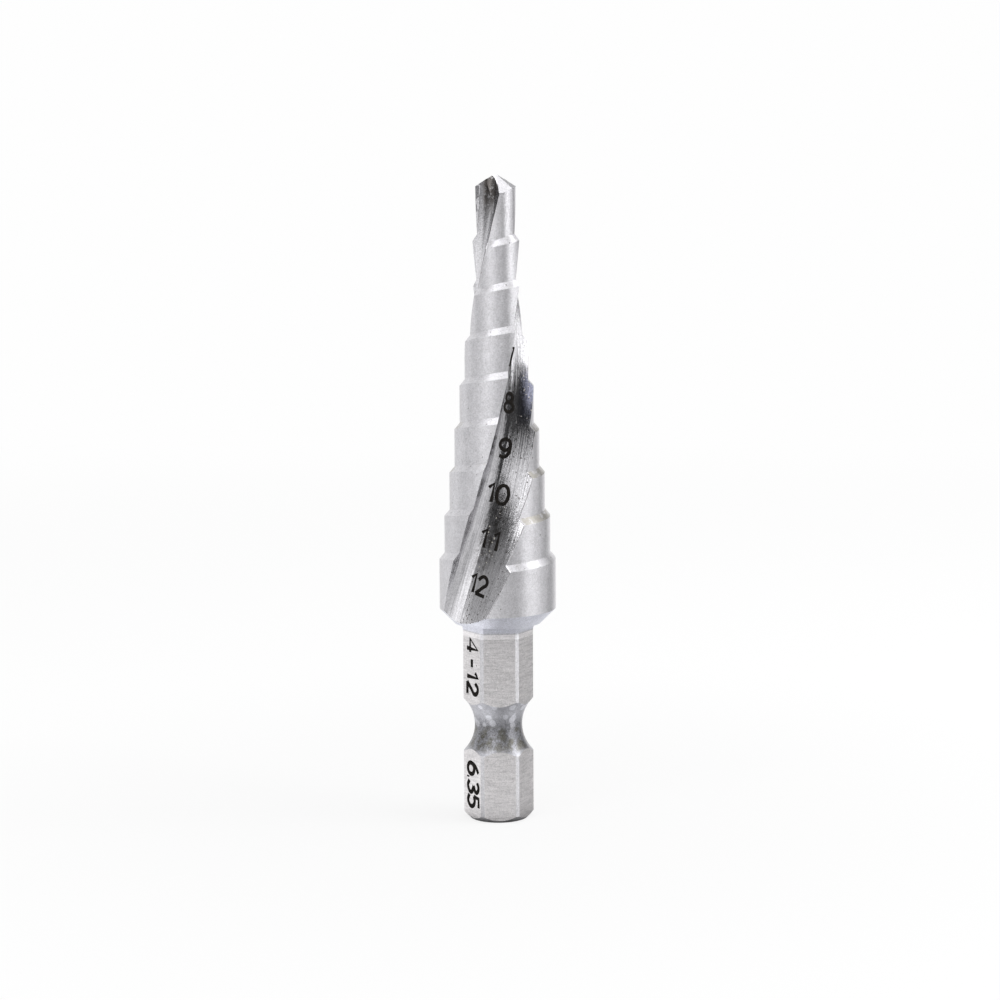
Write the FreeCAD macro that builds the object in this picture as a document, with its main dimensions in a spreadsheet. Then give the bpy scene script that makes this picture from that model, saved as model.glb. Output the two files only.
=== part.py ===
# Step drill with two spiral flutes on a hex quick-change shank, modelled
# standing on the end of its shank. Millimetres, +Z up along the axis, origin
# at the middle of the shank's end face. One solid.

import FreeCAD, Part
import math
import os
import re

import Sketcher

V = FreeCAD.Vector
Y_AXIS = V(0, 1, 0)
Z_AXIS = V(0, 0, 1)

# Driving sizes. Angles are in degrees, seen from the tip, and relief is per
# whole turn.
SIZES = [
    ("OverallLength", 65.0, "shank end to tip"),
    ("PilotDiameter", 4.0, "smallest step"),
    ("DiameterStep", 1.0, "from one step to the next"),
    ("FirstStepHeight", 27.0, "cutting corner of the largest step"),
    ("PilotLength", 6.5, "tip above the cutting corner of the step below the pilot"),
    ("ShoulderRise", 0.6, "height of a shoulder"),
    ("CuttingAngle", -138.7, "cutting corner of the largest step, from +X"),
    ("HelixLead", 103.0, "height of one turn of the flutes"),
    ("QuickTwistHeight", 45.0, "where the flutes begin to turn more quickly"),
    ("QuickTwist", 0.03, "extra turn by the square of the height above that"),
    ("LandSweep", 176.0, "turned by each land before the flutes are cut"),
    ("LandLead", 16.0, "part of that sweep ahead of the cutting corner"),
    ("RadialRelief", 0.9, "fall of a land's radius"),
    ("AxialRelief", 3.2, "fall of a shoulder's height"),
    ("LandDepth", 1.8, "each land reaches this far into the blank"),
    ("LandOverlap", 0.6, "each land starts this far below the step under it"),
    ("CoreBaseRadius", 5.25, "blank under the lands, at the rim"),
    ("CoreTipRadius", 1.0, "blank under the lands, at the tip"),
    ("RimHeight", 20.1, "flat underside of the head"),
    ("RimRadius", 4.4, "outer edge of that underside"),
    ("BackConeAngle", 45.0, "back cone, from the axis"),
    ("FluteDepthRadius", 5.35, "corner of the flute's section, at the start height"),
    ("FluteStartHeight", 18.0, "where the flute's section is drawn"),
    ("FluteTipRadius", 0.086, "the same corner at the tip, so the core is a cone"),
    ("FluteOverrun", 2.0, "the flute is drawn on past the tip by this"),
    ("FluteAngle", 110.0, "between the rake face and the heel face"),
    ("FluteRootRadius", 1.9, "round between those faces"),
    ("PointAngle", 118.0, "between the two lips"),
    ("LipRise", 0.1, "where the lips' planes meet, above the chisel edge"),
    ("LipClearance", 21.0, "fall of the first facet behind a lip"),
    ("FacetLineAngle", 40.5, "from a lip back to the edge of the second facet"),
    ("HeelClearance", 30.0, "fall of the second facet behind that edge"),
    ("NotchRadius", 0.8, "round notch that thins the web at the tip"),
    ("NotchAlong", 0.65, "middle of the notch along the lip"),
    ("NotchAhead", 0.8, "middle of the notch ahead of the lip"),
    ("NotchLean", 6.0, "lean of the notch outwards along the lip"),
    ("NotchSplay", 8.0, "lean of the notch ahead of the lip"),
    ("HexAcrossFlats", 6.35, "quarter-inch shank"),
    ("HexCornerDiameter", 7.1, "turned over the corners"),
    ("RetainerHeight", 9.6, "middle of the ball groove"),
    ("RetainerFloorDiameter", 4.83, "bottom of the ball groove"),
    ("RetainerRadius", 3.87, "section of the ball groove"),
    ("EndChamfer", 0.6, "at the end of the shank"),
    ("NeckRadius", 0.8, "fillet between the shank and the head"),
]
STEPS = 9
FLUTE_LEVELS = 9
SHOULDER_RUN = 1.4  # a shoulder is drawn on under the next land by this share

# The steps share the height between the largest one and the pilot evenly.
PITCH = f"((OverallLength - PilotLength - FirstStepHeight) / {STEPS - 2})"

doc = FreeCAD.newDocument("StepDrill")
sheet = doc.addObject("Spreadsheet::Sheet", "Sizes")
for row, (alias, value, note) in enumerate(SIZES, start=1):
    sheet.set(f"A{row}", alias)
    sheet.set(f"B{row}", str(value))
    sheet.setAlias(f"B{row}", alias)
    sheet.set(f"C{row}", note)
doc.recompute()

ALIASES = re.compile(r"\b(" + "|".join(alias for alias, _, _ in SIZES) + r")\b")


def bound(expression):
    """The expression with its sizes read from the sheet."""
    return ALIASES.sub(r"Sizes.\1", expression)


def worked_out(expression):
    """The value of an expression, from a spare cell of the sheet."""
    sheet.set("E1", "=" + expression)
    sheet.recompute()
    value = float(sheet.get("E1"))
    sheet.clear("E1")
    return value


body = doc.addObject("PartDesign::Body", "StepDrill")
body.Label = "step_drill"
origin = {feature.Role: feature for feature in body.Origin.OriginFeatures}


def new_sketch(name, plane):
    sketch = body.newObject("Sketcher::SketchObject", name)
    sketch.AttachmentSupport = [(origin[plane], "")]
    sketch.MapMode = "FlatFace"
    return sketch


def closed_outline(sketch, corners):
    """A closed run of lines whose corners are pinned to expressions."""
    places = [V(worked_out(x), worked_out(y), 0) for x, y in corners]
    for here, there in zip(places, places[1:] + places[:1]):
        sketch.addGeometry(Part.LineSegment(here, there), False)
    count = len(corners)
    for i in range(count):
        sketch.addConstraint(Sketcher.Constraint("Coincident", i, 2, (i + 1) % count, 1))
    for i, (x, y) in enumerate(corners):
        pin(sketch, i, 1, x, "DistanceX", -2, places[i].x)
        pin(sketch, i, 1, y, "DistanceY", -1, places[i].y)


def pin(sketch, line, end, expression, kind, axis, value):
    if expression == "0":
        sketch.addConstraint(Sketcher.Constraint("PointOnObject", line, end, axis))
        return
    index = sketch.addConstraint(Sketcher.Constraint(kind, -1, 1, line, end, value))
    sketch.setExpression(f"Constraints[{index}]", bound(expression))


def circle(sketch, x, y, radius):
    sketch.addGeometry(Part.Circle(
        V(worked_out(x), worked_out(y), 0), Z_AXIS, worked_out(radius)), False)
    pin(sketch, 0, 3, x, "DistanceX", -2, worked_out(x))
    pin(sketch, 0, 3, y, "DistanceY", -1, worked_out(y))
    index = sketch.addConstraint(Sketcher.Constraint("Radius", 0, worked_out(radius)))
    sketch.setExpression(f"Constraints[{index}]", bound(radius))


def flute_outline(sketch, corner, angle, radius, reach, length):
    """Rake face along +X, heel face at an angle to it, and a round between
    them; the rest of the outline stays outside the drill."""
    outer = f"{corner} + {reach}"
    far_x = f"{corner} + {length} * cos({angle})"
    far_y = f"{length} * sin({angle})"
    start = f"{corner} + {radius} / tan({angle} / 2)"
    end_x = f"{start} - {radius} * sin({angle})"
    end_y = f"{radius} + {radius} * cos({angle})"
    a, b = V(worked_out(start), 0, 0), V(worked_out(outer), 0, 0)
    c, d = V(worked_out(outer), worked_out(far_y), 0), V(worked_out(far_x), worked_out(far_y), 0)
    e = V(worked_out(end_x), worked_out(end_y), 0)
    sketch.addGeometry([Part.LineSegment(a, b), Part.LineSegment(b, c),
                        Part.LineSegment(c, d), Part.LineSegment(d, e)], False)
    centre = V(a.x, worked_out(radius), 0)
    turn = math.radians(worked_out(angle) + 90)
    sketch.addGeometry(Part.ArcOfCircle(
        Part.Circle(centre, Z_AXIS, centre.y), turn, 1.5 * math.pi), False)
    sketch.addGeometry(Part.Point(V(worked_out(corner), 0, 0)), True)
    for i in range(3):
        sketch.addConstraint(Sketcher.Constraint("Coincident", i, 2, i + 1, 1))
    sketch.addConstraint(Sketcher.Constraint("Tangent", 4, 1, 3, 2))
    sketch.addConstraint(Sketcher.Constraint("Tangent", 4, 2, 0, 1))
    sketch.addConstraint(Sketcher.Constraint("PointOnObject", 0, 1, -1))
    sketch.addConstraint(Sketcher.Constraint("PointOnObject", 0, 2, -1))
    sketch.addConstraint(Sketcher.Constraint("PointOnObject", 5, 1, -1))
    sketch.addConstraint(Sketcher.Constraint("PointOnObject", 5, 1, 3))
    pin(sketch, 5, 1, corner, "DistanceX", -2, worked_out(corner))
    pin(sketch, 1, 1, outer, "DistanceX", -2, b.x)
    pin(sketch, 2, 1, outer, "DistanceX", -2, c.x)
    pin(sketch, 2, 1, far_y, "DistanceY", -1, c.y)
    pin(sketch, 3, 1, far_x, "DistanceX", -2, d.x)
    pin(sketch, 3, 1, far_y, "DistanceY", -1, d.y)
    index = sketch.addConstraint(Sketcher.Constraint("Radius", 4, centre.y))
    sketch.setExpression(f"Constraints[{index}]", bound(radius))


def turn_at(height):
    """Where the cutting edge stands round the axis at a height."""
    return (f"CuttingAngle + 360 * ({height} - FirstStepHeight) / HelixLead"
            f" + QuickTwist * max(0; {height} - QuickTwistHeight)^2")


def bind(feature, **expressions):
    for name, expression in expressions.items():
        feature.setExpression(name, bound(expression))


def turned(kind, name, sketch):
    feature = body.newObject("PartDesign::" + kind, name)
    feature.Profile = sketch
    feature.ReferenceAxis = (origin["Z_Axis"], [""])
    feature.Angle = 360
    return feature


def patterned(name, features):
    """The same features again on the other side of the axis."""
    pattern = body.newObject("PartDesign::PolarPattern", name)
    pattern.Originals = features
    pattern.Axis = (origin["Z_Axis"], [""])
    pattern.Angle = 360
    pattern.Occurrences = 2
    body.Tip = pattern
    return pattern


# Hex shank, with its corners turned down, a ball groove and an end chamfer.
# The hexagon has two flats square to Y.
hexagon = new_sketch("ShankHexagon", "XY_Plane")
half = "HexAcrossFlats / 2"
side = "HexAcrossFlats / 2 * tan(30)"
closed_outline(hexagon, [
    (side, half), (f"-{side}", half), (f"-2 * {side}", "0"),
    (f"-{side}", f"-{half}"), (side, f"-{half}"), (f"2 * {side}", "0"),
])
shank = body.newObject("PartDesign::Pad", "Shank")
shank.Profile = hexagon
bind(shank, Length="RimHeight + 2")

corner_ring = new_sketch("CornerRing", "XZ_Plane")
closed_outline(corner_ring, [
    ("HexCornerDiameter / 2", "-1"), ("HexAcrossFlats", "-1"),
    ("HexAcrossFlats", "RimHeight + 3"), ("HexCornerDiameter / 2", "RimHeight + 3"),
])
turned("Groove", "TurnedCorners", corner_ring)

end_ring = new_sketch("EndRing", "XZ_Plane")
closed_outline(end_ring, [
    ("HexCornerDiameter / 2 - EndChamfer - 1", "-1"), ("HexAcrossFlats", "-1"),
    ("HexAcrossFlats", "EndChamfer + HexAcrossFlats - HexCornerDiameter / 2"),
])
turned("Groove", "EndChamfer", end_ring)

retainer = new_sketch("RetainerRing", "XZ_Plane")
circle(retainer, "RetainerFloorDiameter / 2 + RetainerRadius", "RetainerHeight",
       "RetainerRadius")
turned("Groove", "BallGroove", retainer)

# Head blank: a slim cone that every land grows from.
blank = new_sketch("BlankProfile", "XZ_Plane")
closed_outline(blank, [
    ("0", "RimHeight"), ("CoreBaseRadius", "RimHeight"),
    ("CoreTipRadius", "OverallLength + 1"), ("0", "OverallLength + 1"),
])
turned("Revolution", "Blank", blank)

# Lands. Each is swept on its own from heel to cutting corner, so its radius
# and its shoulder both fall away behind the cutting corner, and each corner
# stands further round than the one below it by the lead of the flutes.
lands = []
for step in range(STEPS):
    number = STEPS - 1 - step
    radius = f"(PilotDiameter + {number} * DiameterStep) / 2"
    corner_height = f"(FirstStepHeight + {step} * {PITCH})"
    behind = "(LandSweep - LandLead) / 360"
    outer = f"{radius} - RadialRelief * {behind}"
    inner = f"{radius} - LandDepth"
    top = f"{corner_height} - AxialRelief * {behind}"
    foot = f"{top} - {PITCH} - LandOverlap" if step else "RimHeight - AxialRelief - LandOverlap"
    if step == STEPS - 1:
        inner = "CoreTipRadius / 2"
        corners = [(inner, foot), (outer, foot),
                   (outer, "OverallLength"), (inner, "OverallLength")]
    else:
        crest = f"{top} + {SHOULDER_RUN} * ShoulderRise"
        corners = [(inner, foot), (outer, foot), (outer, top),
                   (f"{outer} - {SHOULDER_RUN} * DiameterStep / 2", crest), (inner, crest)]
    profile = new_sketch(f"LandProfile{step + 1}", "XZ_Plane")
    profile.AttachmentOffset = FreeCAD.Placement(V(0, 0, 0), FreeCAD.Rotation(Y_AXIS, 1))
    profile.setExpression("AttachmentOffset.Rotation.Angle", bound(
        turn_at(corner_height) + " + LandLead - LandSweep + 360"))
    closed_outline(profile, corners)
    land = body.newObject("PartDesign::AdditiveHelix", f"Land{step + 1}")
    land.Profile = profile
    land.ReferenceAxis = (origin["Z_Axis"], [""])
    land.Mode = "height-turns-growth"
    bind(land, Height="AxialRelief * LandSweep / 360", Turns="LandSweep / 360",
         Growth="RadialRelief")
    lands.append(land)
patterned("Lands", lands)

# Back cone and flat underside of the head.
back_ring = new_sketch("BackConeRing", "XZ_Plane")
closed_outline(back_ring, [
    ("HexCornerDiameter / 2 + 0.3", "RimHeight"), ("RimRadius", "RimHeight"),
    ("RimRadius + 4", "RimHeight + 4 / tan(BackConeAngle)"),
    ("RimRadius + 4", "RimHeight - AxialRelief - 3"),
    ("HexCornerDiameter / 2 + 0.3", "RimHeight - AxialRelief - 3"),
])
turned("Groove", "BackCone", back_ring)

# Flutes: one section, drawn at even heights, turned by the lead and moved in
# towards the axis as it rises, so that the core is a cone.
sections = []
for level in range(FLUTE_LEVELS):
    rise = f"({level} * (OverallLength + FluteOverrun - FluteStartHeight) / {FLUTE_LEVELS - 1})"
    section = new_sketch(f"FluteSection{level + 1}", "XY_Plane")
    section.AttachmentOffset = FreeCAD.Placement(V(0, 0, 1), FreeCAD.Rotation(Z_AXIS, 1))
    bind(section, **{
        "AttachmentOffset.Base.z": f"FluteStartHeight + {rise}",
        "AttachmentOffset.Rotation.Angle":
            turn_at(f"(FluteStartHeight + {rise})") + " + 360",
    })
    inward = (f"(FluteDepthRadius - FluteTipRadius) * {rise}"
              " / (OverallLength - FluteStartHeight)")
    flute_outline(section, f"(FluteDepthRadius - {inward})", "FluteAngle",
                  "FluteRootRadius", "4", "7")
    sections.append(section)
flute = body.newObject("PartDesign::SubtractiveLoft", "Flute")
flute.Profile = sections[0]
flute.Sections = sections[1:]
patterned("Flutes", [flute])

# Point: two facets behind each lip, and a round notch that thins the web in
# front of it. The second facets meet in the chisel edge.
lip_turn = turn_at("(OverallLength - 1)")


def tilted_sketch(name, height, turn, pitch, roll):
    sketch = new_sketch(name, "XY_Plane")
    bind(sketch, AttachmentOffset=(
        f"placement(vector(0; 0; {height}); rotation({turn}; {pitch}; {roll}))"))
    return sketch


def ground_off(name, sketch):
    pocket = body.newObject("PartDesign::Pocket", name)
    pocket.Profile = sketch
    pocket.Reversed = True
    bind(pocket, Length="PilotDiameter")
    return pocket


lip_fall = "(90 - PointAngle / 2)"
line_fall = (f"atan(tan{lip_fall} * cos(FacetLineAngle)"
             f" + tan(LipClearance) / cos{lip_fall} * sin(FacetLineAngle))")
square = [("PilotDiameter", "PilotDiameter"), ("-PilotDiameter", "PilotDiameter"),
          ("-PilotDiameter", "-PilotDiameter"), ("PilotDiameter", "-PilotDiameter")]
first = tilted_sketch("FirstFacetPlane", "OverallLength + LipRise", lip_turn, lip_fall,
                      "LipClearance")
closed_outline(first, square)
first_facet = ground_off("FirstFacet", first)
second = tilted_sketch("SecondFacetPlane", "OverallLength", f"{lip_turn} - FacetLineAngle",
                       line_fall, "HeelClearance")
closed_outline(second, square)
second_facet = ground_off("SecondFacet", second)
patterned("Facets", [first_facet, second_facet])

notch = tilted_sketch("NotchCircle", "OverallLength", lip_turn, "-NotchLean", "NotchSplay")
circle(notch, "NotchAlong", "NotchAhead", "NotchRadius")
gash = body.newObject("PartDesign::Pocket", "Gash")
gash.Profile = notch
bind(gash, Length="PilotDiameter")
patterned("Gashes", [gash])
doc.recompute()

# Neck fillet, all round the hexagon under the head.
under = sheet.get("RimHeight")
inside = sheet.get("HexCornerDiameter") / 2 + 0.01
rounded = [f"Edge{i}" for i, edge in enumerate(body.Tip.Shape.Edges, start=1)
           if all(abs(v.Z - under) < 1e-4 and math.hypot(v.X, v.Y) < inside
                  for v in edge.Vertexes)]
neck = body.newObject("PartDesign::Fillet", "Neck")
neck.Base = (doc.getObject("Gashes"), rounded)
bind(neck, Radius="NeckRadius")
doc.recompute()

failed = [item.Name for item in doc.Objects
          if "Invalid" in item.State or "Error" in item.State]
if failed:
    raise SystemExit("failed: " + ", ".join(failed))
if body.Shape.isNull() or not body.Shape.isValid() or len(body.Shape.Solids) != 1:
    raise SystemExit("the drill is not one valid solid")

os.makedirs("parts", exist_ok=True)
body.Shape.exportStep("parts/step_drill.step")
box = body.Shape.BoundBox
print("step_drill", round(body.Shape.Volume, 1), "mm3", box)
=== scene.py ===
# Looks of the step drill: ground steel, marked step sizes and a bright studio.
import math

import bpy
from mathutils import Matrix, Vector


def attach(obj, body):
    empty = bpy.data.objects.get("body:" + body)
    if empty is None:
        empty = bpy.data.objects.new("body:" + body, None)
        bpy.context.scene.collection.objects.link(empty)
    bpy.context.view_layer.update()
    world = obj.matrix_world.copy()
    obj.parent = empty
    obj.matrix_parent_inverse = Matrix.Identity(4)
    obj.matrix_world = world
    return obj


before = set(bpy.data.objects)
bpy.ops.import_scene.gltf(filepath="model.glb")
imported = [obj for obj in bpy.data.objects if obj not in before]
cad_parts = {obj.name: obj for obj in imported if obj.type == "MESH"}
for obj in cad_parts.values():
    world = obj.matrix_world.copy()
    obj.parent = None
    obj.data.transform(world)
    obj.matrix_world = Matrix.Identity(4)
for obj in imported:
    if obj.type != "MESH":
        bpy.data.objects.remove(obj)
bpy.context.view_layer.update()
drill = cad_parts["step_drill"]
bpy.ops.object.select_all(action="DESELECT")


# Small helpers for node trees
def addNode(tree, kind, settings=None, inputs=None):
    made = tree.nodes.new("ShaderNode" + kind)
    for name, value in (settings or {}).items():
        setattr(made, name, value)
    for name, value in (inputs or {}).items():
        if isinstance(value, bpy.types.NodeSocket):
            tree.links.new(value, made.inputs[name])
        elif value is not None:
            made.inputs[name].default_value = value
    return made


def calc(tree, operation, first, second=None, third=None):
    inputs = {0: first, 1: second, 2: third}
    return addNode(tree, "Math", {"operation": operation}, inputs).outputs[0]


def ease(tree, value, low, high, start=0.0, end=1.0):
    inputs = {0: value, 1: low, 2: high, 3: start, 4: end}
    settings = {"interpolation_type": "SMOOTHSTEP"}
    return addNode(tree, "MapRange", settings, inputs).outputs[0]


def mixValue(tree, factor, first, second):
    return addNode(tree, "Mix", {"data_type": "FLOAT"}, {0: factor, 2: first, 3: second}).outputs[0]


def mixColour(tree, factor, first, second):
    return addNode(tree, "Mix", {"data_type": "RGBA"}, {0: factor, 6: first, 7: second}).outputs[2]


# How far a direction points to an azimuth of the studio, 1 when straight at it
def towards(tree, way, azimuth):
    turn = math.radians(azimuth)
    inputs = {0: way, 1: (math.sin(turn), -math.cos(turn), 0.0)}
    return addNode(tree, "VectorMath", {"operation": "DOT_PRODUCT"}, inputs).outputs["Value"]


camera = {
    "place": (-0.00817, -0.20341, 0.05417),     # metres
    "turn": -2.379,     # about the vertical, degrees
    "pitch": -6.066,
    "roll": -0.325,
    "lens": 73.0,
}


def makeCamera():
    bpy.ops.object.camera_add()
    lens = bpy.context.object
    lens.name = "Camera"
    lens.matrix_world = (Matrix.Translation(camera["place"])
                         @ Matrix.Rotation(math.radians(camera["turn"]), 4, "Z")
                         @ Matrix.Rotation(math.radians(90 + camera["pitch"]), 4, "X")
                         @ Matrix.Rotation(math.radians(camera["roll"]), 4, "Z"))
    lens.data.lens = camera["lens"]
    lens.data.clip_start = 0.001
    bpy.context.scene.camera = lens


makeCamera()
bpy.context.scene.view_settings.view_transform = "Standard"
print("camera set")

# Lights are placed by the direction they come from, in degrees and metres:
# azimuth 0 is in front of the drill, towards the camera, and grows to the right.
studio = {
    "backdrop": 0.991,
    "floorNear": 0.962,
    "floorNearReach": (0.015, 0.09),
    "floorGlow": 0.85,      # the floor is this much glow by the drill, and all glow past glowReach
    "glowReach": (0.1, 0.5),
    "floorSize": 4.0,
    "litFloor": 0.72,
    "floorSeen": 0.97,      # table as the steel sees it
    # painted shadow: the table as the steel sees it is darker right beside the foot
    "footSeen": 0.12,       # the same, right beside the foot
    "footReach": (0.0032, 0.008),
    # painted light and shade: the table as the steel sees it is paler to the left and behind, and dimmer
    # in front and to the right
    "floorLobes": ((-95, 0.3), (-45, 0.32), (5, -0.32), (68, -0.2), (115, -0.35), (160, 0.3)),
    "lobeEdge": (0.7, 1.0),
    "room": 0.05,           # dim room in front of the drill, and its paler left
    "roomLeft": 0.5,
    "roomAzimuth": -105,
    "roomEdge": (0.2, 1.0),
    "behind": 1.2,          # pale backdrop as the steel sees it
    "behindAzimuth": -163,
    "behindEdge": (0.35, 0.7),
    "ceiling": 1.4,
    "ceilingEdge": (0.42, 0.58),
    "ceilingFall": -1.0,    # dimmer towards this azimuth
    "ceilingAzimuth": 120,
    "fallEdge": (0.2, 1.0),
    "diffuse": 0.75,
    "middle": (0, 0, 0.035),    # what the lamps point at
    "lamps": {
        "overheadBox": {"azimuth": 0, "elevation": 86, "distance": 0.5, "size": (0.4, 0.4), "glow": 1.7},
        "leftBox": {"azimuth": -36, "elevation": 36, "distance": 0.6, "size": (0.4, 0.26), "glow": 2.5},
        "frontBox": {"azimuth": 2, "elevation": 24, "distance": 0.6, "size": (0.36, 0.26), "glow": 1.05},
        "rightBox": {"azimuth": 74, "elevation": 35, "distance": 0.5, "size": (0.28, 0.28), "glow": 5.2},
        "sideBox": {"azimuth": 101, "elevation": 22, "distance": 0.5, "size": (0.32, 0.32),
                    "glow": 1.65},
    },
}


def makeFloor():
    bpy.ops.mesh.primitive_plane_add(size=studio["floorSize"])
    floor = bpy.context.object
    floor.name = "floor"
    paint = bpy.data.materials.new("floorPaint")
    paint.use_nodes = True
    tree = paint.node_tree
    tree.nodes.clear()
    place = addNode(tree, "TexCoord").outputs["Object"]
    away = addNode(tree, "VectorMath", {"operation": "LENGTH"}, {0: place}).outputs["Value"]
    near, far = studio["floorNearReach"]
    tone = ease(tree, away, near, far, studio["floorNear"], studio["backdrop"])
    lit = addNode(tree, "BsdfDiffuse", None, {"Color": calc(tree, "MULTIPLY", tone, studio["litFloor"])})
    way = addNode(tree, "VectorMath", {"operation": "NORMALIZE"}, {0: place}).outputs[0]
    shade = studio["floorSeen"]
    # painted light and shade across the table, as the steel sees it
    for azimuth, change in studio["floorLobes"]:
        lobe = ease(tree, towards(tree, way, azimuth), *studio["lobeEdge"], 0.0, change)
        shade = calc(tree, "ADD", shade, lobe)
    # painted shadow beside the foot, in what the steel reflects
    shade = calc(tree, "MULTIPLY", shade, ease(tree, away, *studio["footReach"], studio["footSeen"], 1.0))
    path = addNode(tree, "LightPath")
    shown = mixValue(tree, path.outputs["Is Glossy Ray"], tone, shade)
    glow = addNode(tree, "Emission", None, {"Color": shown, "Strength": 1.0})
    seen = calc(tree, "MAXIMUM", path.outputs["Is Camera Ray"], path.outputs["Is Glossy Ray"])
    seen = calc(tree, "MAXIMUM", seen, path.outputs["Is Transmission Ray"])
    share = ease(tree, away, *studio["glowReach"], studio["floorGlow"], 1.0)
    share = calc(tree, "MULTIPLY", seen, share)
    mixed = addNode(tree, "MixShader", None, {0: share, 1: lit.outputs[0], 2: glow.outputs[0]})
    addNode(tree, "OutputMaterial", None, {"Surface": mixed.outputs[0]})
    floor.data.materials.append(paint)


def makeWorld():
    world = bpy.data.worlds.new("studio")
    world.use_nodes = True
    bpy.context.scene.world = world
    tree = world.node_tree
    tree.nodes.clear()
    way = addNode(tree, "TexCoord").outputs["Generated"]
    flattened = addNode(tree, "VectorMath", {"operation": "MULTIPLY"}, {0: way, 1: (1, 1, 0)}).outputs[0]
    level = addNode(tree, "VectorMath", {"operation": "NORMALIZE"}, {0: flattened}).outputs[0]
    backward = towards(tree, level, studio["behindAzimuth"])
    room = ease(tree, towards(tree, level, studio["roomAzimuth"]), *studio["roomEdge"],
                studio["room"], studio["roomLeft"])
    behind = ease(tree, backward, *studio["behindEdge"], 0.0, studio["behind"])
    seenLevel = calc(tree, "MAXIMUM", room, behind)
    height = addNode(tree, "SeparateXYZ", None, {0: way}).outputs[2]
    dimming = ease(tree, towards(tree, level, studio["ceilingAzimuth"]), *studio["fallEdge"],
                   studio["ceiling"], studio["ceiling"] + studio["ceilingFall"])
    ceiling = calc(tree, "MULTIPLY", ease(tree, height, *studio["ceilingEdge"]), dimming)
    seenLevel = calc(tree, "MAXIMUM", seenLevel, ceiling)
    path = addNode(tree, "LightPath")
    level = mixValue(tree, path.outputs["Is Glossy Ray"], studio["diffuse"], seenLevel)
    shown = calc(tree, "MAXIMUM", path.outputs["Is Camera Ray"], path.outputs["Is Transmission Ray"])
    level = mixValue(tree, shown, level, studio["backdrop"])
    sky = addNode(tree, "Background", None, {"Color": (1, 1, 1, 1), "Strength": level})
    addNode(tree, "OutputWorld", None, {"Surface": sky.outputs[0]})


def makeLamp(name, lamp):
    azimuth, elevation = math.radians(lamp["azimuth"]), math.radians(lamp["elevation"])
    way = Vector((math.sin(azimuth) * math.cos(elevation),
                  -math.cos(azimuth) * math.cos(elevation), math.sin(elevation)))
    place = Vector(studio["middle"]) + way * lamp["distance"]
    bpy.ops.object.light_add(type="AREA", location=place)
    box = bpy.context.object
    box.name = name
    box.rotation_euler = way.to_track_quat("Z", "Y").to_euler()
    box.data.shape = "RECTANGLE"
    box.data.size, box.data.size_y = lamp["size"]
    box.data.energy = lamp["glow"] * math.pi * lamp["size"][0] * lamp["size"][1]
    box.visible_camera = False


makeFloor()
makeWorld()
for name, lamp in studio["lamps"].items():
    makeLamp(name, lamp)
print("studio lit")

# The flutes' course, as the drill is ground, for patterns that follow them.
# Lengths in the dictionaries from here on are in millimetres.
flutes = {
    "edgeAngle": -138.7,    # cutting edge at firstHeight, degrees
    "firstHeight": 27.0,
    "lead": 103.0,
    "quickHeight": 45.0,    # above this the flutes turn quicker
    "quickTwist": 0.03,
    "cornerRadius": 5.35,   # corner of the flute's section at startHeight
    "startHeight": 18.0,
    "taper": 0.112,
    "angle": 110.0,         # between the rake face and the heel face
}

speckShape = {
    "least": 0.4,           # smallest speck, as a share of the kind's size
    "blur": -0.03,
}


# A pair of numbers in a look says where a pattern starts and where it is whole.
# A top or bottom is a pair of heights.
def noise(tree, place, look):
    inputs = {"Vector": place, "Scale": look["scale"], "Detail": look["detail"],
              "Roughness": look["roughness"]}
    return addNode(tree, "TexNoise", None, inputs).outputs[0]


def vector(tree, x, y, z):
    return addNode(tree, "CombineXYZ", None, {0: x, 1: y, 2: z}).outputs[0]


def times(tree, *values):
    total = values[0]
    for value in values[1:]:
        total = calc(tree, "MULTIPLY", total, value)
    return total


def most(tree, *values):
    total = values[0]
    for value in values[1:]:
        total = calc(tree, "MAXIMUM", total, value)
    return total


def without(tree, value):
    return calc(tree, "SUBTRACT", 1.0, value)


# Moves a value up and down with a noise, by the product of the amounts
def shift(tree, value, pattern, *amounts):
    change = times(tree, calc(tree, "SUBTRACT", pattern, 0.5), *amounts)
    return calc(tree, "ADD", value, change)


# 1 from the bottom to the top that a look gives, and 0 elsewhere
def between(tree, height, look):
    return times(tree, ease(tree, height, *look["bottom"]), ease(tree, height, *look["top"]))


# 1 in scattered specks, and 0 elsewhere
def specks(tree, point, look):
    spacing = look["spacing"]
    cells = addNode(tree, "TexVoronoi", None, {"Vector": point, "Scale": 1 / spacing})
    chosen = addNode(tree, "SeparateColor", None, {0: cells.outputs["Color"]})
    present = calc(tree, "LESS_THAN", chosen.outputs[0], look["share"])
    edge = times(tree, calc(tree, "ADD", chosen.outputs[1], speckShape["least"]), look["size"] / spacing)
    fromEdge = calc(tree, "SUBTRACT", cells.outputs["Distance"], edge)
    return times(tree, present, ease(tree, fromEdge, 0.0, speckShape["blur"]))


# Where one surface gives way to the next, each over a short way
borders = {
    "head": (20.0, 20.2),
    "fluteWall": (0.1, 0.05),
    "ledgeSlope": (0.45, 0.55),
    "underPoint": (61.0, 60.5),
    "grooveHeight": 9.6,
    "grooveReach": (2.7, 2.8),
    "grooveRadius": (3.5, 3.56),
    "grooveWaist": (0.6, 0.5),
    "grooveSlope": (0.01, 0.05),
    "cornerFacing": (0.95, 0.98),
    "cornerRadius": (3.4, 3.48),
    "uprightSlope": (0.02, 0.0),
    "neck": (19.3, 19.5),
    "neckTop": (20.15, 20.1),
    "coneSlope": (-0.5, -0.6),
}


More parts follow.
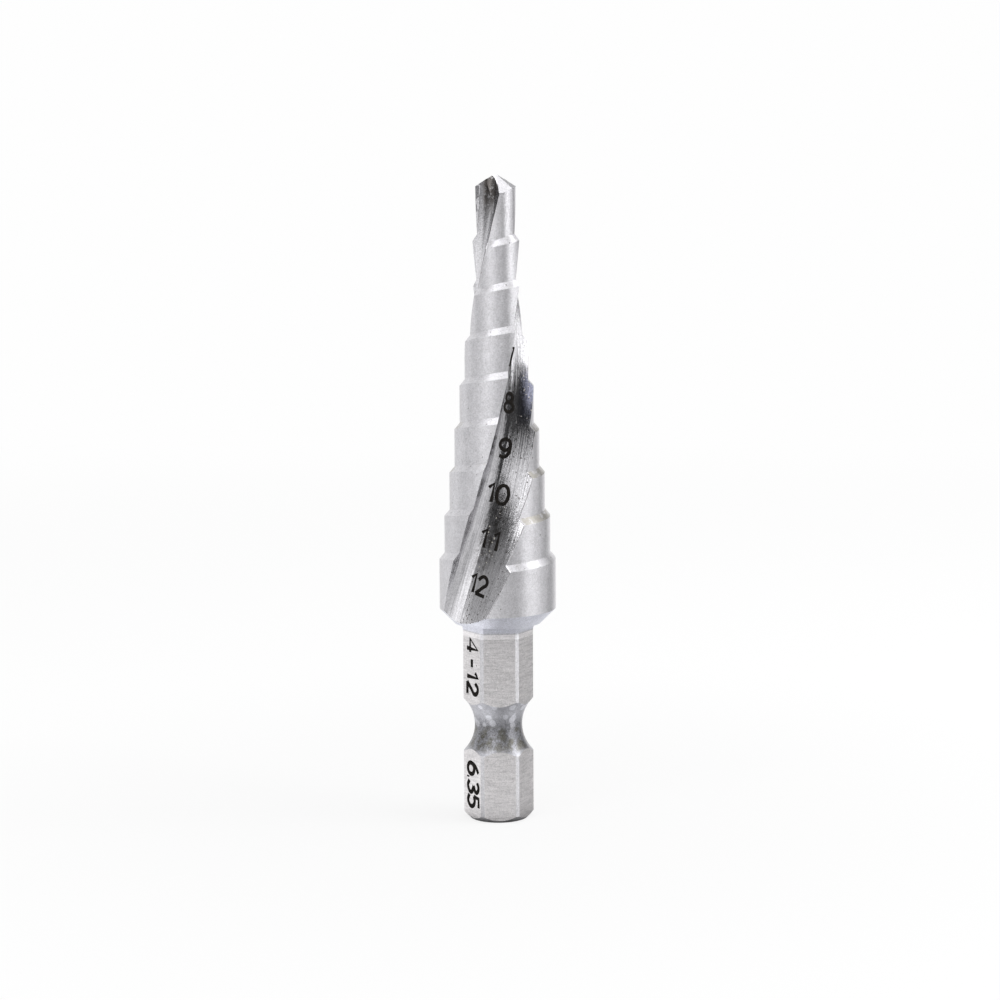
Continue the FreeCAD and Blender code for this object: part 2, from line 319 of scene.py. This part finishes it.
# Where a point of the drill is: round the axis, and in the nearest flute's section
def measurePlace(tree):
    coordinates = addNode(tree, "TexCoord")
    point = addNode(tree, "VectorMath", {"operation": "SCALE"},
                    {0: coordinates.outputs["Object"], "Scale": 1000.0}).outputs[0]
    x, y, z = addNode(tree, "SeparateXYZ", None, {0: point}).outputs
    facing = addNode(tree, "SeparateXYZ", None, {0: coordinates.outputs["Normal"]}).outputs
    radius = calc(tree, "SQRT", calc(tree, "ADD", times(tree, x, x), times(tree, y, y)))
    outward = calc(tree, "ADD", times(tree, facing[0], x), times(tree, facing[1], y))

    # How far ahead of a cutting edge the point stands, from 0 to half a turn
    risen = calc(tree, "SUBTRACT", z, flutes["firstHeight"])
    edge = calc(tree, "MULTIPLY_ADD", risen, 2 * math.pi / flutes["lead"],
                math.radians(flutes["edgeAngle"]))
    quick = calc(tree, "MAXIMUM", calc(tree, "SUBTRACT", z, flutes["quickHeight"]), 0.0)
    edge = calc(tree, "ADD", edge, times(tree, quick, quick, math.radians(flutes["quickTwist"])))
    angle = calc(tree, "ARCTAN2", y, x)
    ahead = calc(tree, "FLOORED_MODULO", calc(tree, "SUBTRACT", angle, edge), math.pi)
    corner = calc(tree, "MULTIPLY_ADD", calc(tree, "SUBTRACT", z, flutes["startHeight"]),
                  -flutes["taper"], flutes["cornerRadius"])
    return {
        "point": point,
        "x": x,
        "y": y,
        "z": z,
        "radius": radius,
        "up": facing[2],
        "steep": calc(tree, "ABSOLUTE", facing[2]),
        "outward": calc(tree, "DIVIDE", outward, radius),
        "ahead": ahead,
        "across": calc(tree, "SUBTRACT", times(tree, radius, calc(tree, "COSINE", ahead)), corner),
        "deep": times(tree, radius, calc(tree, "SINE", ahead)),
        "aboveGroove": calc(tree, "SUBTRACT", z, borders["grooveHeight"]),
    }


# Which surface a point is on: each value is 1 there and 0 elsewhere
def findSurfaces(tree, at):
    z, steep, radius = at["z"], at["steep"], at["radius"]
    head = ease(tree, z, *borders["head"])
    shank = without(tree, head)
    heel = math.radians(flutes["angle"])
    fromHeel = calc(tree, "SUBTRACT", times(tree, at["deep"], math.cos(heel)),
                    times(tree, at["across"], math.sin(heel)))
    fromFlute = most(tree, times(tree, at["deep"], -1.0), fromHeel)
    flute = times(tree, ease(tree, fromFlute, *borders["fluteWall"]), head)
    ledge = times(tree, ease(tree, at["up"], *borders["ledgeSlope"]),
                  ease(tree, z, *borders["underPoint"]), head, without(tree, flute))

    # The groove's waist stands as upright as the flats, so its height tells it from them
    fromGroove = calc(tree, "ABSOLUTE", at["aboveGroove"])
    hollow = calc(tree, "ADD", steep, ease(tree, fromGroove, *borders["grooveWaist"]))
    groove = times(tree, without(tree, ease(tree, fromGroove, *borders["grooveReach"])), shank,
                   without(tree, ease(tree, radius, *borders["grooveRadius"])),
                   ease(tree, hollow, *borders["grooveSlope"]))
    corner = times(tree, ease(tree, at["outward"], *borders["cornerFacing"]),
                   ease(tree, radius, *borders["cornerRadius"]), shank, without(tree, groove))
    upright = ease(tree, steep, *borders["uprightSlope"])
    flat = times(tree, shank, without(tree, groove), without(tree, corner), upright)

    # The neck, and the cone behind the head
    aboveShank = ease(tree, z, *borders["neck"])
    neck = times(tree, aboveShank, ease(tree, z, *borders["neckTop"]))
    cone = times(tree, aboveShank, ease(tree, at["up"], *borders["coneSlope"]))
    return {"head": head, "shank": shank, "flute": flute, "ledge": ledge, "groove": groove,
            "flat": flat, "upright": upright, "cone": most(tree, neck, cone)}


# Marks of the grinding wheels: fine grain, streaks along the flutes, lines across the flats
wheelMarks = {
    "grain": {"scale": 7.5, "detail": 4.0, "roughness": 0.7, "strength": 1.1},
    "coarse": {"scale": 3.2, "detail": 2.0, "roughness": 0.6, "strength": 0.35},
    "cloud": {"scale": 0.7, "detail": 3.0, "roughness": 0.55, "strength": 0.2},
    "streaks": {"scale": 4.5, "detail": 4.0, "roughness": 0.7, "strength": 1.1},
    "fineStreaks": {"scale": 14.0, "detail": 2.0, "roughness": 0.6, "strength": 0.8},
    "flatLines": {"scale": 5.0, "detail": 4.0, "roughness": 0.75, "strength": 1.0},
    "streakStretch": 0.025,
    "lineStretch": 0.12,
    "smoother": (44.0, 54.0, 1.0, 0.3),     # streaks fade towards the tip
    "grainRelief": 0.6,
    "fluteRelief": 0.15,                    # grain in the flutes
    "streakRelief": 1.8,
    "lineRelief": 1.4,
    "bumpStrength": 0.5,
    "bumpDepth": 0.00003,                   # metres
}


def grindPatterns(tree, at):
    alongFlute = vector(tree, at["across"], at["deep"],
                        times(tree, at["z"], wheelMarks["streakStretch"]))
    acrossFlat = vector(tree, times(tree, at["x"], wheelMarks["lineStretch"]),
                        times(tree, at["y"], wheelMarks["lineStretch"]), at["z"])
    return {
        "grain": noise(tree, at["point"], wheelMarks["grain"]),
        "coarse": noise(tree, at["point"], wheelMarks["coarse"]),
        "cloud": noise(tree, at["point"], wheelMarks["cloud"]),
        "streaks": noise(tree, alongFlute, wheelMarks["streaks"]),
        "fineStreaks": noise(tree, alongFlute, wheelMarks["fineStreaks"]),
        "flatLines": noise(tree, acrossFlat, wheelMarks["flatLines"]),
        "smoother": ease(tree, at["z"], *wheelMarks["smoother"]),
    }


def groundTone(tree, on, patterns):
    places = {
        "grain": [],
        "coarse": [],
        "cloud": [],
        "streaks": [on["flute"], patterns["smoother"]],
        "fineStreaks": [on["flute"], patterns["smoother"]],
        "flatLines": [on["flat"]],
    }
    tone = 1.0
    for name, where in places.items():
        tone = shift(tree, tone, patterns[name], wheelMarks[name]["strength"], *where)
    return tone


def groundRelief(tree, on, patterns):
    grain = mixValue(tree, on["flute"], wheelMarks["grainRelief"], wheelMarks["fluteRelief"])
    streaks = times(tree, patterns["streaks"], on["flute"], patterns["smoother"])
    lines = times(tree, patterns["flatLines"], on["flat"], wheelMarks["lineRelief"])
    height = calc(tree, "MULTIPLY_ADD", streaks, wheelMarks["streakRelief"],
                  times(tree, patterns["grain"], grain))
    inputs = {"Strength": wheelMarks["bumpStrength"], "Distance": wheelMarks["bumpDepth"],
              "Height": calc(tree, "ADD", height, lines)}
    return addNode(tree, "Bump", None, inputs).outputs[0]


# Paler and darker places of the steel. At the chamfer, the foot, the rake faces and the back facets
# they are painted shade, and at the hex end a painted highlight. Heights of paleSpots, grooveDull
# and mottle are from the groove's middle.
shades = {
    "paleSpots": {"scale": 0.95, "edge": (0.4, 0.32), "bottom": (-0.6, 0.3), "strength": 0.3},
    "grooveDull": {"top": (1.6, 0.0, 0.3, 1.0), "bottom": (-2.7, -1.7, 0.5, 1.0), "strength": 0.6},
    "mottle": {"scale": 1.1, "detail": 4.0, "roughness": 0.6, "edge": (0.42, 0.62),
               "top": (0.4, -0.4), "bottom": (-2.7, -1.9), "strength": 0.3,
               "tint": (0.30, 0.29, 0.25, 1), "tintShare": 0.4},
    "lowFlats": {"top": (9.6, 0.5), "strength": 0.16},
    # painted shade: the chamfer at the foot is darker, for the shaded table beside the foot that it
    # reflects
    "chamfer": {"top": (0.65, 0.6), "strength": 0.12},
    # painted shadow: a dark line round the foot of the shank
    "foot": {"top": (0.35, 0.1), "strength": 0.35},
    # painted highlight: a pale band along the top of the hex faces
    "hexEndHighlight": {"bottom": (18.75, 18.85), "top": (19.35, 19.25), "strength": 0.3},
    # painted shade on the rake faces near the tip
    "rake": {"bottom": (57.5, 62.0), "radius": (0.6, 1.0), "strength": 0.4},
    # painted shade on the facets behind the point that face upwards
    "backFacetShade": {"slope": (0.74, 0.77), "bottom": (60.5, 61.0), "strength": 0.25},
    "upperFlute": {"bottom": (44.0, 50.0), "strength": 0.06},
}


# Old stains, mottled, in the lower half of the ball groove
def findStains(tree, at, on):
    look = shades["mottle"]
    mottle = ease(tree, noise(tree, at["point"], look), *look["edge"])
    return times(tree, mottle, on["groove"], between(tree, at["aboveGroove"], look))


def shadeTone(tree, tone, at, on, stains):
    z, high = at["z"], at["aboveGroove"]
    look = shades["paleSpots"]
    cells = addNode(tree, "TexVoronoi", None, {"Vector": at["point"], "Scale": look["scale"]})
    # among the paler places the hex end is a painted highlight
    paler = {
        "paleSpots": [ease(tree, cells.outputs["Distance"], *look["edge"]), on["groove"],
                      ease(tree, high, *look["bottom"])],
        "lowFlats": [ease(tree, z, *shades["lowFlats"]["top"]), on["flat"]],
        "hexEndHighlight": [between(tree, z, shades["hexEndHighlight"]), on["upright"]],
    }
    # among the darker places the chamfer, the foot, the rake and the back facet are painted shade
    darker = {
        "grooveDull": [between(tree, high, shades["grooveDull"]), on["groove"]],
        "mottle": [stains],
        "chamfer": [ease(tree, z, *shades["chamfer"]["top"])],
        "foot": [ease(tree, z, *shades["foot"]["top"]), on["shank"]],
        "rake": [ease(tree, z, *shades["rake"]["bottom"]),
                 ease(tree, at["radius"], *shades["rake"]["radius"]), on["flute"]],
        "backFacetShade": [ease(tree, at["up"], *shades["backFacetShade"]["slope"]),
                      ease(tree, z, *shades["backFacetShade"]["bottom"])],
        "upperFlute": [ease(tree, z, *shades["upperFlute"]["bottom"]), on["flute"]],
    }
    for name, where in paler.items():
        tone = calc(tree, "ADD", tone, times(tree, *where, shades[name]["strength"]))
    for name, where in darker.items():
        tone = calc(tree, "SUBTRACT", tone, times(tree, *where, shades[name]["strength"]))
    return tone


# Dirt that use has left on the steel, darker root patches, the painted dark reflection in the flutes and
# the painted shade in the notch at the tip. The root is the bottom of a flute.
dirtAndShadeLooks = {
    "dust": {"spacing": 0.8, "size": 0.065, "share": 0.4, "strength": 0.75},
    "ledgeDust": {"spacing": 0.4, "size": 0.07, "share": 0.35},
    "oil": {"spacing": 0.28, "size": 0.07, "share": 0.6, "strength": 0.7,
            "depth": (0.9, 1.6), "top": (47.0, 44.0)},
    "grit": {"spacing": 0.42, "size": 0.05, "share": 0.4, "strength": 0.6, "bottom": (44.0, 48.0)},
    # darker patches along the flute's root, between 24 and 41 mm up
    "rootPatches": {"scale": 1.6, "detail": 5.0, "roughness": 0.75, "strength": 0.75, "edge": (0.42, 0.6),
             "root": (0.0, 0.8), "top": (41.0, 36.0), "bottom": (24.0, 28.0)},
    "patchGap": {"top": (40.5, 38.0), "bottom": (31.5, 34.0)},     # no root patches here
    # painted dark reflection: a bluish black patch with ragged edges on the heel side of the flutes,
    # between 38.5 and 47.5 mm up
    "darkReflection": {"ragged": 1.6, "depth": (2.2, 3.2), "top": (47.5, 44.5), "bottom": (38.5, 41.5),
              "strength": 0.85},
    # painted shade: the dark notch at the tip, near the axis
    "notchShade": {"scale": 2.5, "detail": 4.0, "roughness": 0.7, "strength": 0.85, "edge": (0.32, 0.48),
             "radius": (1.5, 0.9), "slope": (0.7, 0.6), "bottom": (60.5, 63.0)},
    "chips": {"spacing": 0.26, "size": 0.055, "share": 0.5, "root": (0.2, 0.8),
              "top": (34.0, 32.0), "bottom": (23.0, 26.0)},
    "heelward": {"from": (1.0, 1.15), "to": (2.4, 1.9), "bottom": (29.0, 31.0), "top": (42.0, 39.0)},
    "ledges": {"scale": 1.1, "detail": 5.0, "roughness": 0.7, "edge": (0.52, 0.68), "strength": 0.2,
               "heelShift": 0.17, "heelStrength": 0.5},
    "rootDepth": 1.9,
    "rootFall": 0.7,
    "darkKinds": ("dust", "oil", "rootPatches", "grit", "darkReflection", "notchShade"),
    "darkColour": (0.06, 0.05, 0.04, 1),
    "darkReflectionColour": (0.035, 0.04, 0.075, 1),
    "ledgeColour": (0.3, 0.28, 0.23, 1),
    "chipColour": (0.34, 0.32, 0.28, 1),
}


# Dirt on the ledges, thickest towards the heel of the lower ones
def findLedgeDirt(tree, at, on):
    look = dirtAndShadeLooks["heelward"]
    heelward = times(tree, ease(tree, at["ahead"], *look["from"]), ease(tree, at["ahead"], *look["to"]),
                     between(tree, at["z"], look))
    look = dirtAndShadeLooks["ledges"]
    darkening = calc(tree, "MULTIPLY_ADD", heelward, look["heelShift"], noise(tree, at["point"], look))
    strength = calc(tree, "MULTIPLY_ADD", heelward, look["heelStrength"], look["strength"])
    return times(tree, on["ledge"], ease(tree, darkening, *look["edge"]), strength)


# Every kind of dirt, the darker root patches, the painted dark reflection and the painted notch shade:
# each value is 1 where it lies and 0 elsewhere
def findDirt(tree, at, on, streaks):
    point, z, flute = at["point"], at["z"], on["flute"]
    fromRoot = calc(tree, "ABSOLUTE", calc(tree, "SUBTRACT", at["deep"], dirtAndShadeLooks["rootDepth"]))
    root = without(tree, times(tree, fromRoot, dirtAndShadeLooks["rootFall"]))
    dust = most(tree, specks(tree, point, dirtAndShadeLooks["dust"]),
                times(tree, specks(tree, point, dirtAndShadeLooks["ledgeDust"]), on["ledge"]))
    look = dirtAndShadeLooks["oil"]
    oil = times(tree, specks(tree, point, look), flute, ease(tree, at["deep"], *look["depth"]),
                ease(tree, z, *look["top"]))
    look = dirtAndShadeLooks["grit"]
    grit = times(tree, specks(tree, point, look), flute, ease(tree, z, *look["bottom"]))
    # darker patches along the flute's root
    look = dirtAndShadeLooks["rootPatches"]
    rootPatches = times(tree, ease(tree, noise(tree, point, look), *look["edge"]), flute,
                 ease(tree, root, *look["root"]), between(tree, z, look),
                 without(tree, between(tree, z, dirtAndShadeLooks["patchGap"])))
    # the painted dark reflection on the heel side of the flutes
    look = dirtAndShadeLooks["darkReflection"]
    ragged = calc(tree, "MULTIPLY_ADD", streaks, look["ragged"], at["deep"])
    darkReflection = times(tree, ease(tree, ragged, *look["depth"]), flute, between(tree, z, look))
    # painted shade in the notch at the tip
    look = dirtAndShadeLooks["notchShade"]
    notchShade = times(tree, ease(tree, noise(tree, point, look), *look["edge"]), flute,
                 ease(tree, at["radius"], *look["radius"]), ease(tree, at["up"], *look["slope"]),
                 ease(tree, z, *look["bottom"]))
    look = dirtAndShadeLooks["chips"]
    inRoot = times(tree, ease(tree, root, *look["root"]), between(tree, z, look))
    chips = times(tree, specks(tree, point, look), flute, most(tree, darkReflection, inRoot))
    return {"dust": dust, "oil": oil, "grit": grit, "rootPatches": rootPatches, "darkReflection": darkReflection, "notchShade": notchShade,
            "chips": chips, "ledges": findLedgeDirt(tree, at, on)}


finishAndSheen = {
    "steel": (0.606, 0.60, 0.622, 1),
    "warmSteel": (0.672, 0.655, 0.662, 1),  # flats of the shank
    "coolSteel": (0.598, 0.60, 0.643, 1),   # ball groove
    # painted light: a paler, bluer copy of the steel for the neck and the cone, which reflect the
    # brightly lit table
    "coneLitSteel": (0.72, 0.73, 0.80, 1),     # neck, and the cone behind the head
    "anisotropy": 0.9,
    "landRough": 0.47,
    "fluteRough": 0.14,
    "upperRough": 0.21,     # the flutes near the tip are duller
    "upperReach": (44.0, 49.0),
    "hexRough": 0.47,
    "grooveRough": 0.42,
    "grainRough": 0.15,
}


def steelColour(tree, at, on, patterns, darkening):
    tint = mixColour(tree, on["groove"], finishAndSheen["steel"], finishAndSheen["coolSteel"])
    tint = mixColour(tree, on["flat"], tint, finishAndSheen["warmSteel"])
    # painted light on the neck and the cone
    tint = mixColour(tree, on["cone"], tint, finishAndSheen["coneLitSteel"])
    stains = findStains(tree, at, on)
    tone = shadeTone(tree, groundTone(tree, on, patterns), at, on, stains)
    colour = addNode(tree, "VectorMath", {"operation": "SCALE"}, {0: tint, "Scale": tone}).outputs[0]
    stained = mixColour(tree, shades["mottle"]["tintShare"], colour, shades["mottle"]["tint"])
    colour = mixColour(tree, stains, colour, stained)
    colour = mixColour(tree, darkening["ledges"], colour, dirtAndShadeLooks["ledgeColour"])
    kinds = [times(tree, darkening[kind], dirtAndShadeLooks[kind]["strength"]) for kind in dirtAndShadeLooks["darkKinds"]]
    # bluish black where the dark reflection is painted, brownish black for the rest
    dark = mixColour(tree, darkening["darkReflection"], dirtAndShadeLooks["darkColour"], dirtAndShadeLooks["darkReflectionColour"])
    colour = mixColour(tree, most(tree, *kinds), colour, dark)
    return mixColour(tree, darkening["chips"], colour, dirtAndShadeLooks["chipColour"])


def steelRoughness(tree, at, on, patterns):
    inFlutes = ease(tree, at["z"], *finishAndSheen["upperReach"], finishAndSheen["fluteRough"], finishAndSheen["upperRough"])
    rough = mixValue(tree, on["head"], finishAndSheen["hexRough"], finishAndSheen["landRough"])
    rough = mixValue(tree, on["flute"], rough, inFlutes)
    rough = mixValue(tree, on["groove"], rough, finishAndSheen["grooveRough"])
    return shift(tree, rough, patterns["grain"], finishAndSheen["grainRough"])


# Highlights stretch across the grinding, which runs round the lands and along the flutes
def grindTangent(tree, on):
    around = addNode(tree, "Tangent", {"direction_type": "RADIAL", "axis": "Z"}).outputs[0]
    inputs = {0: on["flute"], 4: (0, 0, 1), 5: around}
    return addNode(tree, "Mix", {"data_type": "VECTOR"}, inputs).outputs[1]


def makeSteel():
    steel = bpy.data.materials.new("groundSteel")
    steel.use_nodes = True
    tree = steel.node_tree
    shader = tree.nodes["Principled BSDF"]
    at = measurePlace(tree)
    on = findSurfaces(tree, at)
    patterns = grindPatterns(tree, at)
    darkening = findDirt(tree, at, on, patterns["streaks"])
    tree.links.new(steelColour(tree, at, on, patterns, darkening), shader.inputs["Base Color"])
    tree.links.new(without(tree, darkening["chips"]), shader.inputs["Metallic"])
    tree.links.new(steelRoughness(tree, at, on, patterns), shader.inputs["Roughness"])
    tree.links.new(groundRelief(tree, on, patterns), shader.inputs["Normal"])
    tree.links.new(grindTangent(tree, on), shader.inputs["Tangent"])
    shader.inputs["Anisotropic"].default_value = finishAndSheen["anisotropy"]
    drill.data.materials.clear()
    drill.data.materials.append(steel)


makeSteel()
print("steel on")

# Strokes of the marked figures, in a box one unit high. A closed stroke ends
# where it starts, and a sharp one has straight runs.
figureStrokes = {
    "0": [("closed", (0.31, 1.0), (0.0, 0.5), (0.31, 0.0), (0.62, 0.5))],
    "1": [("sharp", (0.0, 0.76), (0.24, 1.0), (0.24, 0.0))],
    "2": [("round", (0.03, 0.76), (0.32, 1.0), (0.6, 0.72), (0.36, 0.38), (0.03, 0.0)),
          ("sharp", (0.03, 0.0), (0.64, 0.0))],
    "3": [("round", (0.05, 0.88), (0.33, 1.0), (0.57, 0.77), (0.28, 0.54)),
          ("round", (0.28, 0.54), (0.62, 0.28), (0.31, 0.0), (0.02, 0.13))],
    "4": [("sharp", (0.5, 0.0), (0.5, 1.0), (0.0, 0.3), (0.68, 0.3))],
    "5": [("sharp", (0.58, 1.0), (0.12, 1.0), (0.07, 0.56)),
          ("round", (0.07, 0.56), (0.36, 0.62), (0.61, 0.31), (0.33, 0.0), (0.02, 0.12))],
    "6": [("closed", (0.31, 0.6), (0.02, 0.3), (0.31, 0.0), (0.6, 0.3)),
          ("round", (0.02, 0.3), (0.12, 0.68), (0.46, 1.0))],
    "7": [("sharp", (0.0, 1.0), (0.62, 1.0), (0.22, 0.0))],
    "8": [("closed", (0.31, 1.0), (0.09, 0.77), (0.31, 0.54), (0.53, 0.77)),
          ("closed", (0.31, 0.54), (0.02, 0.27), (0.31, 0.0), (0.6, 0.27))],
    "9": [("closed", (0.31, 1.0), (0.02, 0.7), (0.31, 0.4), (0.6, 0.7)),
          ("round", (0.6, 0.7), (0.55, 0.3), (0.32, 0.03), (0.05, 0.08))],
    "-": [("sharp", (0.1, 0.45), (0.5, 0.45))],
    ".": [("sharp", (0.0, 0.02), (0.08, 0.02))],
}

marks = {
    "height": 1.85,         # of a figure in the flute
    "gap": 0.17,            # between figures, as a share of their height
    "line": 0.36,
    "thickness": 0.05,
    "away": 9.0,            # outside the steel, from where a mark is laid on it
    "fullSize": 7,          # figures of the steps below this one are smaller
    "widest": 0.68,         # figure, as a share of its height
    "fromEdge": 0.12,       # least room between a figure and the cutting edge
    "leanRadius": 1 / 3,    # radius whose helix the figures lean along, over the diameter
    "belowCorner": 2.5,     # middle of a mark below its step's cutting corner
    "ahead": 30.0,          # degrees ahead of the cutting edge at aheadHeight
    "aheadHeight": 24.5,
    "aheadFall": 0.51,      # degrees less for every millimetre above it
    "stepPitch": 4.5,
    "largest": 12,
    "smallest": 4,
    "shankHeight": 2.0,
    "rangeGap": 0.26,
    "sizeGap": 0.12,
    "shankLine": 0.46,
    "shankTurn": 90,        # the shank is marked along its length
    "shankText": "6.35",
    "wideGaps": {10: 0.24, 11: 0.46},
    "shankFace": -150.0,    # azimuth of the marked flat, from +X
    "shankAcross": 0.15,
    "rangeMiddle": 15.8,
    "sizeMiddle": 3.65,
}


# Laser marks are black, with paler burnt grains
burntInk = {
    "grains": {"scale": 9000.0, "detail": 3.0, "roughness": 0.6},   # scale per metre
    "edge": (0.35, 0.75),
    "dark": (0.004, 0.004, 0.004, 1),
    "pale": (0.022, 0.018, 0.015, 1),
    "rough": 0.8,
    "specular": 0.05,
}


def makeInk():
    ink = bpy.data.materials.new("laserBlack")
    ink.use_nodes = True
    tree = ink.node_tree
    shader = tree.nodes["Principled BSDF"]
    place = addNode(tree, "TexCoord").outputs["Object"]
    grains = ease(tree, noise(tree, place, burntInk["grains"]), *burntInk["edge"])
    colour = mixColour(tree, grains, burntInk["dark"], burntInk["pale"])
    tree.links.new(colour, shader.inputs["Base Color"])
    shader.inputs["Roughness"].default_value = burntInk["rough"]
    shader.inputs["Specular IOR Level"].default_value = burntInk["specular"]
    return ink


# Curves for a line of figures, in millimetres, with its middle at the origin
def drawStrokes(text, height, gap, line):
    pen = bpy.data.curves.new("strokes", "CURVE")
    pen.dimensions = "3D"
    pen.bevel_depth = line / 2
    pen.bevel_resolution = 2
    pen.use_fill_caps = True
    pen.resolution_u = 6
    widths = [max(x for _, *points in figureStrokes[letter] for x, _ in points) for letter in text]
    start = -(sum(widths) + gap * (len(text) - 1)) * height / 2
    for letter, width in zip(text, widths):
        for form, *points in figureStrokes[letter]:
            stroke = pen.splines.new("BEZIER")
            stroke.bezier_points.add(len(points) - 1)
            stroke.use_cyclic_u = form == "closed"
            for knot, (x, y) in zip(stroke.bezier_points, points):
                knot.co = (start + x * height, (y - 0.5) * height, 0)
                knot.handle_left_type = knot.handle_right_type = "VECTOR" if form == "sharp" else "AUTO"
        start += (width + gap) * height
    return pen


# Lays a line of figures on the surface that faces the azimuth
def markOn(name, text, height, gap, line, azimuth, across, middle, turn, ink):
    out = Vector((math.cos(math.radians(azimuth)), math.sin(math.radians(azimuth)), 0))
    right = Vector((-out.y, out.x, 0))
    up = Vector((0, 0, 1))
    curve = bpy.data.objects.new(name, drawStrokes(text, height, gap, line))
    bpy.context.scene.collection.objects.link(curve)
    bpy.ops.object.select_all(action="DESELECT")
    curve.select_set(True)
    bpy.context.view_layer.objects.active = curve
    bpy.ops.object.convert(target="MESH")
    mark = bpy.context.object
    lean = math.radians(turn)
    for vertex in mark.data.vertices:
        u, v, lift = vertex.co
        side = u * math.cos(lean) + v * math.sin(lean) + across
        rise = v * math.cos(lean) - u * math.sin(lean) + middle
        outside = (right * side + up * rise + out * marks["away"]) / 1000
        hit, place, *_ = drill.ray_cast(outside, -out)
        lift *= marks["thickness"] / line / 1000
        vertex.co = place + out * lift if hit else outside
    mark.data.materials.append(ink)
    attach(mark, "root")


def makeMarks():
    ink = makeInk()
    for size in range(marks["smallest"], marks["largest"] + 1):
        cuttingCorner = flutes["firstHeight"] + marks["stepPitch"] * (marks["largest"] - size)
        middle = cuttingCorner - marks["belowCorner"]
        quick = max(0.0, middle - flutes["quickHeight"])
        edge = (flutes["edgeAngle"] + 360 * (middle - flutes["firstHeight"]) / flutes["lead"]
                + flutes["quickTwist"] * quick * quick)
        ahead = marks["ahead"] - marks["aheadFall"] * (middle - marks["aheadHeight"])
        share = min(1.0, size / marks["fullSize"])
        height, line = marks["height"] * share, marks["line"] * share
        halfWidth = marks["widest"] * height / 2 + line / 2 + marks["fromEdge"]
        ahead = max(ahead, math.degrees(math.asin(halfWidth / (size / 2))))
        lean = math.degrees(math.atan(2 * math.pi * size * marks["leanRadius"] / flutes["lead"]))
        gap = marks["wideGaps"].get(size, marks["gap"])
        markOn("mark%d" % size, str(size), height, gap, line, edge + ahead, 0.0, middle, lean, ink)
    sizeRange = "%d-%d" % (marks["smallest"], marks["largest"])
    markOn("markRange", sizeRange, marks["shankHeight"], marks["rangeGap"], marks["shankLine"],
           marks["shankFace"], marks["shankAcross"], marks["rangeMiddle"], marks["shankTurn"], ink)
    markOn("markShank", marks["shankText"], marks["shankHeight"], marks["sizeGap"], marks["shankLine"],
           marks["shankFace"], marks["shankAcross"], marks["sizeMiddle"], marks["shankTurn"], ink)


makeMarks()
print("marks on")
